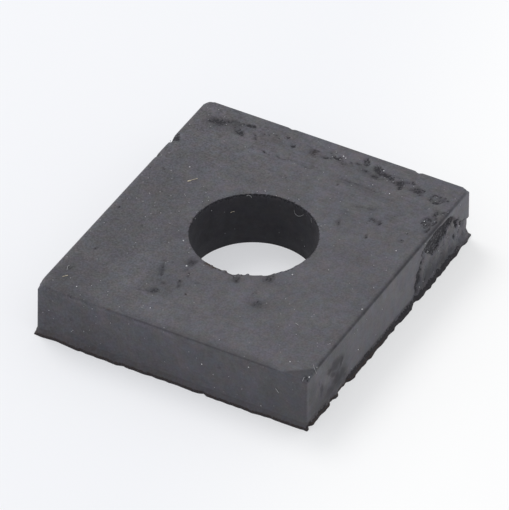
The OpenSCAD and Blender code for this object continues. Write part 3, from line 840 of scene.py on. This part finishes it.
def new_group(name, inputs, output):
    """A shader node group with number inputs (name: value) after a Vector, and one
    number output. Returns the group, its inputs' outputs, and its output's input."""
    group = bpy.data.node_groups.new(name, "ShaderNodeTree")
    group.interface.new_socket("Vector", in_out="INPUT", socket_type="NodeSocketVector")
    for socket_name, value in inputs.items():
        socket = group.interface.new_socket(
            socket_name, in_out="INPUT", socket_type="NodeSocketFloat")
        socket.default_value = value
    group.interface.new_socket(output, in_out="OUTPUT", socket_type="NodeSocketFloat")
    given = group.nodes.new("NodeGroupInput")
    made = group.nodes.new("NodeGroupOutput")
    return group, given.outputs, made.inputs[output]


def add_group(tree, group, vector, **inputs):
    """Places a node group in a material with its own values; returns its output."""
    node = tree.nodes.new("ShaderNodeGroup")
    node.node_tree = group
    tree.links.new(vector, node.inputs["Vector"])
    for name, value in inputs.items():
        node.inputs[name].default_value = value
    return node.outputs[0]


# Mottle: a factor about 1 that varies in patches of a size in millimetres
mottle, given, factor = new_group(
    "mottle", {"Size": 1.0, "Contrast": 0.1, "Detail": 2.0, "Rough": 0.5, "Shift": 0.0}, "Factor")
patches = add_node(mottle, "TexNoise", {
    "Vector": given["Vector"],
    "W": given["Shift"],
    "Scale": math(mottle, "DIVIDE", 1000.0, given["Size"]),
    "Detail": given["Detail"],
    "Roughness": given["Rough"],
}, noise_dimensions="4D")
swing = math(mottle, "SUBTRACT", patches.outputs[0], 0.5)
swing = math(mottle, "MULTIPLY", swing, given["Contrast"])
mottle.links.new(math(mottle, "ADD", swing, 1.0), factor)

# Specks: a mask of small round specks, one to each chosen cell of a size in millimetres
specks, given, mask = new_group(
    "specks", {"Spacing": 1.0, "Radius": 0.06, "Share": 0.5}, "Mask")
cells = add_node(specks, "TexVoronoi", {
    "Vector": given["Vector"],
    "Scale": math(specks, "DIVIDE", 1000.0, given["Spacing"]),
}, feature="F1")
chance = add_node(specks, "SeparateColor", {"Color": cells.outputs["Color"]})
chosen = math(specks, "LESS_THAN", chance.outputs["Red"], given["Share"])
radius = math(specks, "DIVIDE", given["Radius"], given["Spacing"])
near = math(specks, "SUBTRACT", 1.0, math(specks, "DIVIDE", cells.outputs["Distance"], radius))
near = math(specks, "MULTIPLY", near, 3.0, clamp=True)
specks.links.new(math(specks, "MULTIPLY", near, chosen), mask)

# The bloom's colour wanders between a green, a pink, a tan and a blue grey
rubber, tree, shader, own_place = new_material("bloomed_black_rubber")
reds = add_group(tree, mottle, own_place, Size=1.1, Contrast=4.8, Detail=3, Rough=0.7, Shift=7)
blues = add_group(tree, mottle, own_place, Size=1.3, Contrast=4.8, Detail=3, Rough=0.7, Shift=8)
pinker = mix(tree, math(tree, "SUBTRACT", reds, 0.5, clamp=True), bloom_green, bloom_pink)
bluer = mix(tree, math(tree, "SUBTRACT", blues, 0.5, clamp=True), bloom_tan, bloom_blue)
colour = mix(tree, 0.5, pinker, bluer)

# Its tone varies in wide and in small patches
patch = add_group(tree, mottle, own_place, Size=4, Contrast=0.75, Detail=3)
cloud = add_group(tree, mottle, own_place, Size=1.0, Contrast=0.65, Shift=3)

# Fine brush marks run across the back of the top
axes = add_node(tree, "SeparateXYZ", {"Vector": own_place}).outputs
stretched = add_node(tree, "Mapping", {"Vector": own_place, "Scale": (0.2, 1, 1)}).outputs[0]
brushed = add_group(tree, mottle, stretched, Size=0.30, Contrast=0.7, Shift=11)
by_back = add_node(tree, "MapRange", {
    "Value": axes["Y"], "From Min": back_from, "From Max": back_to, "To Min": 0.2})
brushed = math(tree, "MULTIPLY", math(tree, "SUBTRACT", brushed, 1.0), result(by_back))

# Grain and dust are stronger towards the left wall, and weaker on the walls
grain = add_group(tree, mottle, own_place, Size=0.24, Contrast=1.5, Shift=5)
by_left = add_node(tree, "MapRange", {
    "Value": axes["X"], "From Min": left_from, "From Max": left_to, "To Min": 1.5, "To Max": 0.8})
by_top = add_node(tree, "MapRange", {
    "Value": axes["Z"], "From Min": top_from, "From Max": top_to, "To Min": 0.6, "To Max": 1.0})
gritty = math(tree, "MULTIPLY", result(by_left), result(by_top))
shade = math(tree, "ADD", math(tree, "MULTIPLY", patch, cloud), math(
    tree, "ADD", math(tree, "MULTIPLY", math(tree, "SUBTRACT", grain, 1.0), gritty), brushed))
colour = mix(tree, 1.0, colour, shade, blend_type="MULTIPLY")

# Where the wear and light attribute is below zero the colour is paler: thicker bloom, and painted
# light on the right wall and in the bore
raw = add_node(tree, "Attribute", attribute_name="fresh").outputs["Fac"]
wear_and_light = add_node(tree, "Attribute", attribute_name="wear_and_painted_light").outputs["Fac"]
stained = add_node(tree, "Attribute", attribute_name="brown").outputs["Fac"]
paler_bloom_and_light = math(tree, "MAXIMUM", math(tree, "MULTIPLY", wear_and_light, -0.75), 0.0)
colour = mix(tree, 1.0, colour, math(tree, "ADD", paler_bloom_and_light, 1.0), blend_type="MULTIPLY")

# Raw rubber shows through in ragged flecks where it is half fresh
broken = add_group(tree, mottle, own_place, Size=0.22, Contrast=4.5, Detail=1.0, Shift=9)
flecks = math(tree, "MULTIPLY", math(tree, "SUBTRACT", broken, 1.0), 0.55)
flecks = math(tree, "ADD", flecks, math(tree, "SUBTRACT", raw, 0.50))
flecks = math(tree, "ADD", math(tree, "MULTIPLY", flecks, 1.9), 0.5)
torn_up = math(tree, "MULTIPLY", flecks, math(tree, "MULTIPLY", raw, 4.0, clamp=True), clamp=True)
black = math(tree, "MAXIMUM", torn_up, math(tree, "MULTIPLY", wear_and_light, cloud, clamp=True))
colour = mix(tree, black, colour, fresh_rubber)

# Brown stains and specks of dust lie over both
stained = math(tree, "MULTIPLY", stained, math(tree, "MULTIPLY", broken, 0.6), clamp=True)
colour = mix(tree, stained, colour, brown_stain)
dusty = add_group(tree, specks, own_place, Spacing=0.8, Radius=0.085, Share=0.32)
dusty = math(tree, "MULTIPLY", dusty, math(tree, "MULTIPLY", gritty, 0.75))
colour = mix(tree, dusty, colour, dust_grey)

# Bloom is satin and raw rubber matt, and both are slightly uneven
roughness = add_node(tree, "MapRange", {
    "Value": black, "To Min": bloom_roughness, "To Max": fresh_roughness})
relief = math(tree, "ADD", math(tree, "MULTIPLY", grain, 0.6), math(tree, "MULTIPLY", cloud, 0.8))
relief = math(tree, "SUBTRACT", relief, math(tree, "MULTIPLY", torn_up, 0.8))
bump = add_node(tree, "Bump", {"Height": relief, "Strength": 0.6, "Distance": 0.00005})
shader.inputs["IOR"].default_value = 1.5
tree.links.new(colour, shader.inputs["Base Color"])
tree.links.new(result(roughness), shader.inputs["Roughness"])
tree.links.new(result(bump), shader.inputs["Normal"])
pad.data.materials.append(rubber)


# ---------------------------------------------------------------------------
# Dust
# Grains of pale grit and dust, loose dirt that only the bloom's tackiness holds on
# the top, the walls and in the hole. The large ones are white and the rest grey.
# ---------------------------------------------------------------------------
# Millimetres from the middle of the block. On the top: (x, y, size)
top_grains = [
    (-17.3, 10.7, .14), (-4.2, -8.8, .24), (1.8, 18.1, .18), (17.0, -5.8, .18),
    (7.1, -4.2, .15), (-12.9, 7.5, .15), (2.2, 17.9, .15), (15.7, 11.9, .15),
    (15.4, 5.5, .15), (-4.1, -17.4, .15), (14.3, -18.0, .16), (-6.8, -4.9, .15),
    (-13.6, 1.7, .13), (1.1, 8.4, .14), (7.3, 15.0, .14), (5.5, -18.5, .14), (9.8, 14.5, .15),
    (-13.3, -18.2, .15), (-11.9, -17.2, .12), (-9.5, -17.8, .12), (-8.4, 2.5, .12),
    (7.9, 16.9, .11), (-9.8, 9.4, .12), (-9.9, -.4, .12), (-5.2, -6.5, .11),
    (-7.4, 17.9, .11), (1.7, 17.4, .13), (-9.7, 1.6, .13), (-12.9, -.9, .10),
    (-11.4, -7.9, .12), (10.3, -9.6, .13), (6.2, 18.5, .11), (7.2, 18.0, .15),
    (-16.6, 18.4, .12), (4.2, 10.3, .11), (6.0, 5.7, .12), (-12.2, -19.3, .11),
    (-3.1, 7.9, .12), (-10.9, 2.7, .12), (-8.2, 3.6, .12), (-14.7, -17.2, .12),
    (-9.1, 14.0, .12), (1.2, 14.3, .11), (14.9, 16.6, .11), (-8.0, .7, .12),
    (17.3, 14.8, .10), (10.3, -1.4, .12), (16.3, -1.7, .12), (-.5, 18.8, .12),
    (.7, 18.4, .12), (8.6, 18.0, .11), (-14.6, .9, .10), (-16.3, -1.3, .11),
    (16.9, 17.4, .10), (-11.6, -1.7, .12), (-17.0, -14.0, .11), (14.4, 1.9, .11),
    (16.1, 1.8, .12), (-15.5, 14.3, .10), (-8.2, 18.0, .12), (-13.1, -.4, .10),
    (-12.8, -3.2, .12), (16.8, 12.4, .14), (-16.4, -6.5, .12), (-5.5, -5.7, .12),
    (12.6, -13.4, .12), (-13.1, 16.7, .11), (-11.8, 13.8, .10), (.7, 17.4, .13),
    (-13.6, 4.5, .10), (8.4, 16.5, .12), (5.2, 13.7, .11), (-7.9, 3.0, .11), (5.5, 10.4, .10),
    (15.1, 15.8, .11), (-12.5, -2.4, .12), (16.1, 11.4, .12), (14.9, 9.0, .10),
    (-15.8, 17.3, .10), (-2.1, 19.1, .10), (-17.0, 3.4, .10), (-16.1, 3.3, .11),
    (9.1, 16.7, .11), (9.7, 10.1, .11), (8.5, -8.4, .12), (16.7, -13.0, .12),
    (-14.0, 17.9, .10), (-16.3, 8.6, .11), (9.9, 17.5, .11), (10.6, 16.6, .12),
    (11.6, 17.1, .12), (11.3, 14.7, .11), (17.0, 14.1, .11), (-17.0, -8.6, .10),
    (15.4, -13.6, .12), (-1.5, 7.7, .11), (-3.0, 7.8, .13), (0, 8.0, .11), (1.2, 8.3, .14),
    (5.7, 5.3, .12), (-8.9, 4.2, .10), (-10.7, 2.5, .11), (-3.8, 7.3, .12),
    (17.45, -19.3, .17), (17.4, -17.4, .12)]
# On the front wall: (x, z, size)
front_grains = [
    (-11.7, .3, .16), (10.1, 6.2, .16), (-11.3, 2.8, .13), (4.1, 4.2, .15), (11.8, 1.3, .13),
    (-15.9, 4.0, .13), (5.6, 3.3, .13), (-10.2, 6.5, .12), (-13.7, .3, .11), (-9.7, 5.6, .10),
    (-5.4, 6.2, .10), (-8.7, .5, .11), (-4.4, .4, .10), (9.3, 2.7, .10), (8.7, .3, .10),
    (10.6, .3, .11), (7.6, 3.8, .10), (5.8, 1.5, .09), (3.4, 4.8, .09), (-11.3, 6.4, .09),
    (-16.7, 3.4, .09), (-7.8, 5.4, .10), (2.4, 5.3, .09), (-.7, 2.6, .09)]
# On the right wall: (y, z, size)
right_grains = [
    (-7.7, 2.9, .15), (-8.0, 6.0, .13), (8.7, 6.9, .13), (11.2, .9, .10), (17.5, 6.5, .10),
    (-3.4, 2.0, .11), (-1.9, 4.7, .12), (-9.4, 1.4, .10), (-5.7, 5.9, .11), (-8.7, 6.0, .10),
    (10.4, 4.3, .17), (17.9, 3.0, .15), (16.6, 4.0, .13), (14.9, 3.4, .12), (14.8, 4.4, .11),
    (8.4, 1.5, .13), (7.5, 1.3, .13), (17.3, 2.0, .11), (12.5, 3.1, .12), (-3.0, .5, .09)]
# On the wall of the hole: (x, y, z, size)
bore_grains = [
    (-7.28, 2.66, 6.23, .12), (2.74, 6.92, 1.91, .11), (-7.69, -.49, 7.05, .12)]
large = 0.145
# How far the middle of a grain stands out from the rubber, as a share of its size
stand_out = 0.1
white_grit = (0.62, 0.62, 0.64, 1)
grey_grit = (0.36, 0.36, 0.38, 1)


def ringed_mesh(name, points, sides):
    """Mesh of many small closed forms, as an array (form, point, xyz) in millimetres
    from the middle of the block. Each form is a pole, rings of as many points as it has
    sides, and another pole: each ring is joined to the next, and the end ones to the
    poles."""
    count, size = points.shape[:2]
    side = np.arange(sides)
    after = (side + 1) % sides
    pole, last_ring = side * 0, size - 1 - sides
    ring = np.arange(1, last_ring, sides)[:, None]
    caps = np.concatenate([
        np.stack([pole, 1 + after, 1 + side], axis=-1),
        np.stack([pole + size - 1, last_ring + side, last_ring + after], axis=-1)])
    walls = np.stack(
        [ring + side, ring + after, ring + sides + after, ring + sides + side], axis=-1)
    first = size * np.arange(count)[:, None, None]
    faces = (first + caps).reshape(-1, 3).tolist()
    faces += (first + walls.reshape(-1, 4)).reshape(-1, 4).tolist()
    points = (points.reshape(-1, 3) - [hole_place[0], hole_place[1], 0]) * mm
    mesh = bpy.data.meshes.new(name)
    mesh.from_pydata(points.tolist(), [], faces)
    mesh.polygons.foreach_set("use_smooth", np.ones(len(faces), bool))
    return mesh


def grain_points(grains, rings=3, sides=6):
    """Points of many grains (x, y, z, size). Each is a ball of that size whose radius
    differs at every point by a seeded share. Over the plan a point lies at the radius
    times the cosine of its rise, and in height at the radius times the sine."""
    rise = np.pi * (np.arange(1, rings + 1) / (rings + 1) - 0.5)
    rise = np.concatenate([[-np.pi / 2], np.repeat(rise, sides), [np.pi / 2]])
    way = np.tile(2 * np.pi * np.arange(sides) / sides, rings)
    way = np.concatenate([[0], way, [0]])
    ball = np.stack(
        [np.cos(rise) * np.cos(way), np.cos(rise) * np.sin(way), np.sin(rise)], axis=-1)
    share = np.random.default_rng(12).uniform(0.75, 1.25, (len(grains), len(ball)))
    reach = grains[:, 3:] / 2 * share
    return grains[:, None, :3] + reach[..., None] * ball


def mottled_material(name, colour, size, roughness=0.9):
    """A matt material whose colour varies in patches of a size in millimetres."""
    material, tree, shader, own_place = new_material(name)
    varied = add_group(tree, mottle, own_place, Size=size, Contrast=0.9, Detail=1.0, Shift=13)
    shader.inputs["Roughness"].default_value = roughness
    tree.links.new(mix(tree, 1.0, colour, varied, blend_type="MULTIPLY"),
                   shader.inputs["Base Color"])
    return material


x, y, size = np.array(top_grains).T
on_top = np.stack([x, y, block_h + stand_out * size, size], axis=-1)
x, z, size = np.array(front_grains).T
on_front_wall = np.stack([x, wall_in(z) - block_d / 2 - stand_out * size, z, size], axis=-1)
y, z, size = np.array(right_grains).T
out = block_w / 2 - wall_in(z) - tear(y, z)[0] + stand_out * size
on_right_wall = np.stack([out, y, z, size], axis=-1)
grains = np.concatenate([on_top, on_front_wall, on_right_wall, np.array(bore_grains)])
is_large = grains[:, 3] >= large

for name, some, colour in (("white_dust", grains[is_large], white_grit),
                           ("grey_dust", grains[~is_large], grey_grit)):
    dust = new_piece(ringed_mesh(name, grain_points(some), sides=6))
    dust.data.materials.append(mottled_material(name, colour, 0.12))
    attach(dust, "root")


# ---------------------------------------------------------------------------
# Lint
# Short fibres of tan and grey cloth that cling to the top, the walls and the wall of
# the hole, some of them curling over an edge. They are as loose as the dust.
# ---------------------------------------------------------------------------
# Radius, then the places that each fibre runs through, in millimetres as above
tan_fibres = [
    (.045, [(-15.60, -17.42, 7.23), (-15.39, -17.19, 7.24), (-15.18, -16.92, 7.23)]),
    (.035, [(-5.98, 4.87, 4.90), (-5.84, 5.05, 5.00), (-5.68, 5.24, 4.96)]),
    (.032, [(-11.70, 5.15, 7.23), (-11.37, 5.54, 7.24), (-11.18, 5.79, 7.23),
            (-11.02, 6.06, 7.22)]),
    (.09, [(-11.78, 5.02, 7.20), (-11.66, 5.14, 7.22), (-11.52, 5.30, 7.20)])]
grey_fibres = [
    (.035, [(-15.74, -16.16, 7.24), (-15.92, -15.80, 7.26), (-16.02, -15.50, 7.26),
            (-15.92, -15.30, 7.24)]),
    (.022, [(16.80, -17.15, 7.22), (17.18, -17.62, 7.22), (17.48, -17.88, 7.10),
            (17.60, -17.75, 6.60)]),
    (.024, [(16.95, -19.55, 7.20), (17.00, -19.80, 7.20), (17.02, -20.08, 7.0)]),
    (.035, [(13.62, -20.10, 4.58), (13.85, -20.10, 4.30), (14.03, -20.10, 4.12)]),
    (.022, [(1.02, 7.42, 6.28), (1.06, 7.41, 5.90), (1.30, 7.37, 5.68), (1.66, 7.28, 5.65),
            (2.15, 7.12, 6.01), (2.49, 7.00, 6.44)]),
    (.025, [(-4.56, 6.10, 7.12), (-4.43, 6.22, 7.15), (-4.17, 6.35, 7.12),
            (-3.96, 6.21, 7.00)]),
    (.025, [(3.91, 6.22, 7.05), (3.90, 6.23, 6.71), (4.03, 6.14, 6.46)]),
    (.035, [(11.55, -11.68, 7.23), (11.80, -11.78, 7.25), (12.06, -11.86, 7.23)]),
    (.025, [(-13.02, -20.08, 1.98), (-12.86, -20.09, 2.20), (-12.68, -20.08, 2.42)])]
tan_lint_colour = (0.52, 0.46, 0.36, 1)
grey_lint_colour = (0.34, 0.34, 0.35, 1)


def fibre_points(radius, stops, steps=9, sides=5):
    """Points of one fibre: a circle carried along a path that runs straight from place
    to place and is rounded off by averaging, with slimmer ends and a pole past each."""
    stops = np.array(stops)
    along = np.linspace(0, len(stops) - 1, steps)
    path = np.stack([np.interp(along, range(len(stops)), axis) for axis in stops.T], axis=1)
    path[1:-1] = (path[:-2] + 2 * path[1:-1] + path[2:]) / 4
    course = np.gradient(path, axis=0)
    course /= np.linalg.norm(course, axis=1)[:, None]
    side = np.cross(course, [0.31, 0.23, 0.92])
    side /= np.linalg.norm(side, axis=1)[:, None]
    other = np.cross(course, side)
    way = 2 * np.pi * np.arange(sides)[:, None] / sides
    slim = np.full((steps, 1, 1), radius)
    slim[[0, -1]] *= 0.7
    circle = np.cos(way) * side[:, None] + np.sin(way) * other[:, None]
    tube = (path[:, None] + slim * circle).reshape(-1, 3)
    return np.concatenate([path[:1] - radius * course[:1], tube, path[-1:] + radius * course[-1:]])


for name, fibres, colour in (("tan_lint", tan_fibres, tan_lint_colour),
                             ("grey_lint", grey_fibres, grey_lint_colour)):
    strands = np.stack([fibre_points(radius, stops) for radius, stops in fibres])
    lint = new_piece(ringed_mesh(name, strands, sides=5))
    lint.data.materials.append(mottled_material(name, colour, 0.25))
    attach(lint, "root")
